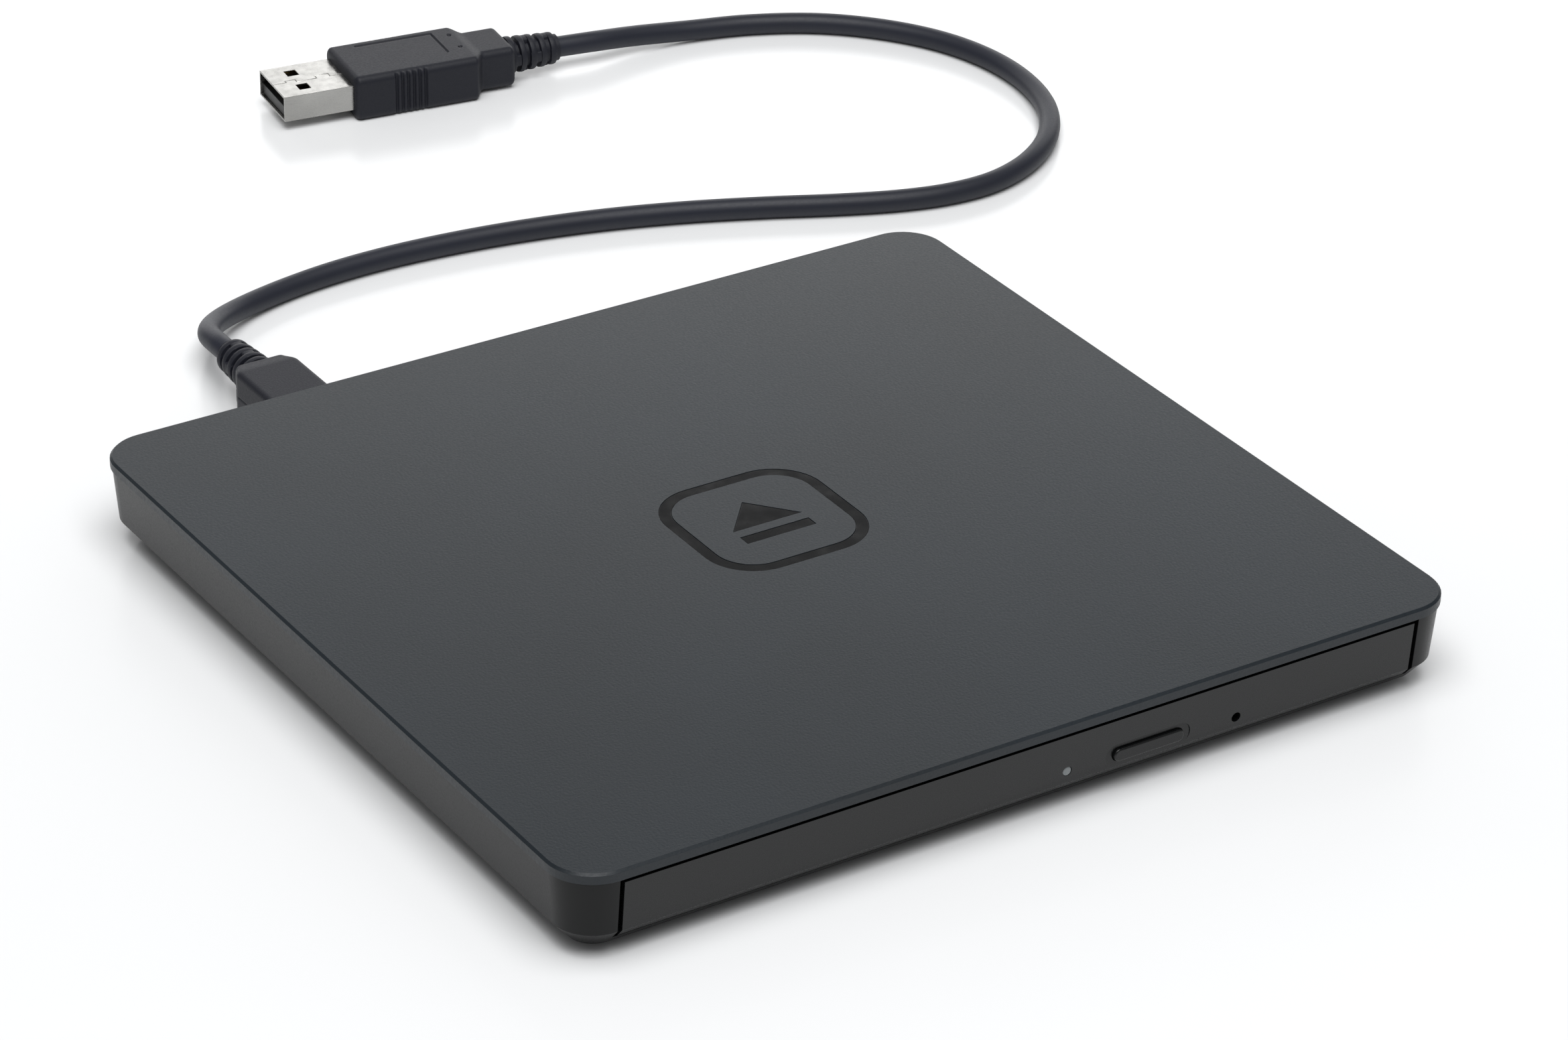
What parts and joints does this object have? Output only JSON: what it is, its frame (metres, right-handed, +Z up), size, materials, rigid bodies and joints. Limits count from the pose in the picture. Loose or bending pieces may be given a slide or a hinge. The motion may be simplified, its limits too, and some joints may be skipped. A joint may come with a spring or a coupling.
{
  "type": "external optical drive",
  "caption": "Slim external disc drive in a flat rounded housing, with a sliding tray, spindle, pickup and latch inside and a short USB cable.",
  "frame": {"origin": "bottom centre of the housing, on the plane its feet rest on", "axes": "+X to the right seen from the front, -Y out of the front bezel, +Z up"},
  "size_m": [0.2072, 0.256, 0.014],
  "materials": {
    "lid_plastic": "moulded ABS with a fine spark-eroded grain",
    "mark_gloss": "polished",
    "shell_plastic": "smooth satin ABS",
    "foot_rubber": "matt",
    "steel": "machined",
    "sheet_steel": "zinc-plated sheet",
    "board": "solder-masked",
    "chip_plastic": "moulded epoxy",
    "plug_metal": "nickel-plated",
    "connector_plastic": "moulded",
    "tray_plastic": "moulded",
    "lamp_plastic": "clear diffusing",
    "switch_metal": "stamped",
    "damper_rubber": "soft",
    "copper": "enamelled wire",
    "pawl_plastic": "moulded acetal",
    "lens_glass": "polished",
    "cable_plastic": "fine matt PVC",
    "tongue_plastic": "moulded",
    "gold": "gold-plated"
  },
  "bodies": {
    "housing": {"lid": "lid_plastic", "lid_mark": "mark_gloss", "base_shell": "shell_plastic", "feet": "foot_rubber", "housing_screws": "steel", "drive_pan": "sheet_steel", "drive_cover": "sheet_steel", "rail_guides": "steel", "cover_screws": "steel", "main_board": "board", "sata_plug": "chip_plastic", "sata_socket": "chip_plastic", "bridge_board": "board", "bridge_chips": "chip_plastic", "usb_socket": "plug_metal", "latch_post": "steel", "rear_ribbon_socket": "connector_plastic", "ribbon": "connector_plastic"},
    "tray": {"tray": "tray_plastic", "bezel": "shell_plastic", "lamp_window": "lamp_plastic", "tray_cover": "sheet_steel", "tray_screws": "steel", "tray_board": "board", "tray_chips": "chip_plastic", "eject_switch": "switch_metal", "ribbon_socket": "connector_plastic", "traverse_plate": "sheet_steel", "dampers": "damper_rubber", "motor_stator": "copper", "guide_rods": "steel", "stepper_motor": "sheet_steel", "solenoid": "copper"},
    "rail_left": {"rail_left": "steel"},
    "rail_right": {"rail_right": "steel"},
    "eject_button": {"eject_button": "shell_plastic"},
    "spindle": {"spindle_rotor": "sheet_steel", "turntable": "tray_plastic"},
    "pawl_1": {"clamp_pawl_1": "pawl_plastic"},
    "pawl_2": {"clamp_pawl_2": "pawl_plastic"},
    "pawl_3": {"clamp_pawl_3": "pawl_plastic"},
    "pickup": {"pickup_sled": "tray_plastic"},
    "lead_screw": {"lead_screw": "steel"},
    "lens": {"lens_holder": "tray_plastic", "lens": "lens_glass"},
    "latch_lever": {"latch_lever": "pawl_plastic"},
    "release_slide": {"release_slide": "pawl_plastic"},
    "solenoid_plunger": {"solenoid_plunger": "steel"},
    "ejector": {"ejector": "steel"},
    "cable": {"rear_grip": "cable_plastic", "rear_plug_shell": "plug_metal", "rear_relief": "cable_plastic", "cord": "cable_plastic", "usb_shell": "plug_metal", "usb_tongue": "tongue_plastic", "usb_contacts": "gold", "usb_grip": "cable_plastic", "usb_relief": "cable_plastic"}
  },
  "joints": [
    {"name": "tray_slide", "type": "slide", "parent": "housing", "child": "tray", "axis": [0, -1, 0], "range_m": [0, 0.126], "deforming": ["ribbon"]},
    {"name": "rail_left_slide", "type": "slide", "parent": "housing", "child": "rail_left", "axis": [0, -1, 0], "range_m": [0, 0.063]},
    {"name": "rail_right_slide", "type": "slide", "parent": "housing", "child": "rail_right", "axis": [0, -1, 0], "range_m": [0, 0.063]},
    {"name": "button_press", "type": "slide", "parent": "tray", "child": "eject_button", "axis": [0, 1, 0], "range_m": [0, 0.0005], "stiffness_N_per_m": 800},
    {"name": "spindle_turn", "type": "hinge", "parent": "tray", "child": "spindle", "pos_m": [0, -0.003, 0.009], "axis": [0, 0, 1], "continuous": true},
    {"name": "pickup_slide", "type": "slide", "parent": "tray", "child": "pickup", "axis": [-0.7071, -0.7071, 0], "range_m": [0, 0.033]},
    {"name": "lead_screw_turn", "type": "hinge", "parent": "tray", "child": "lead_screw", "pos_m": [0.01244, -0.01545, 0.0061], "axis": [-0.7071, -0.7071, 0], "range_deg": [0, 3960]},
    {"name": "lens_focus", "type": "slide", "parent": "pickup", "child": "lens", "axis": [0, 0, 1], "range_m": [-0.0003, 0.0003], "stiffness_N_per_m": 60},
    {"name": "latch_turn", "type": "hinge", "parent": "tray", "child": "latch_lever", "pos_m": [0.049, -0.0561, 0.0057], "axis": [0, 0, 1], "range_deg": [-15, 0]},
    {"name": "release_push", "type": "slide", "parent": "tray", "child": "release_slide", "axis": [0, 1, 0], "range_m": [-0.0016, 0]},
    {"name": "solenoid_pull", "type": "slide", "parent": "tray", "child": "solenoid_plunger", "axis": [0, 1, 0], "range_m": [0, 0.0018]},
    {"name": "ejector_push", "type": "slide", "parent": "tray", "child": "ejector", "axis": [0, 1, 0], "range_m": [0, 0.012]},
    {"name": "plug_pull", "type": "slide", "parent": "housing", "child": "cable", "axis": [0, 1, 0], "range_m": [0, 0.009]},
    {"name": "pawl_1_press", "type": "slide", "parent": "spindle", "child": "pawl_1", "axis": [-0.866, -0.5, 0], "range_m": [0, 0.0004], "stiffness_N_per_m": 400},
    {"name": "pawl_2_press", "type": "slide", "parent": "spindle", "child": "pawl_2", "axis": [0.866, -0.5, 0], "range_m": [0, 0.0004], "stiffness_N_per_m": 400},
    {"name": "pawl_3_press", "type": "slide", "parent": "spindle", "child": "pawl_3", "axis": [0, 1, 0], "range_m": [0, 0.0004], "stiffness_N_per_m": 400}
  ],
  "couplings": [
    {"joint": "rail_left_slide", "follows": "tray_slide", "ratio": 0.5},
    {"joint": "rail_right_slide", "follows": "tray_slide", "ratio": 0.5},
    {"joint": "ejector_push", "follows": "tray_slide", "ratio": 0.095237},
    {"joint": "lead_screw_turn", "follows": "pickup_slide", "rad_per_m": 2094.4},
    {"joint": "latch_turn", "follows": "solenoid_pull", "rad_per_m": -145.44},
    {"joint": "release_push", "follows": "solenoid_pull", "ratio": -0.888}
  ]
}
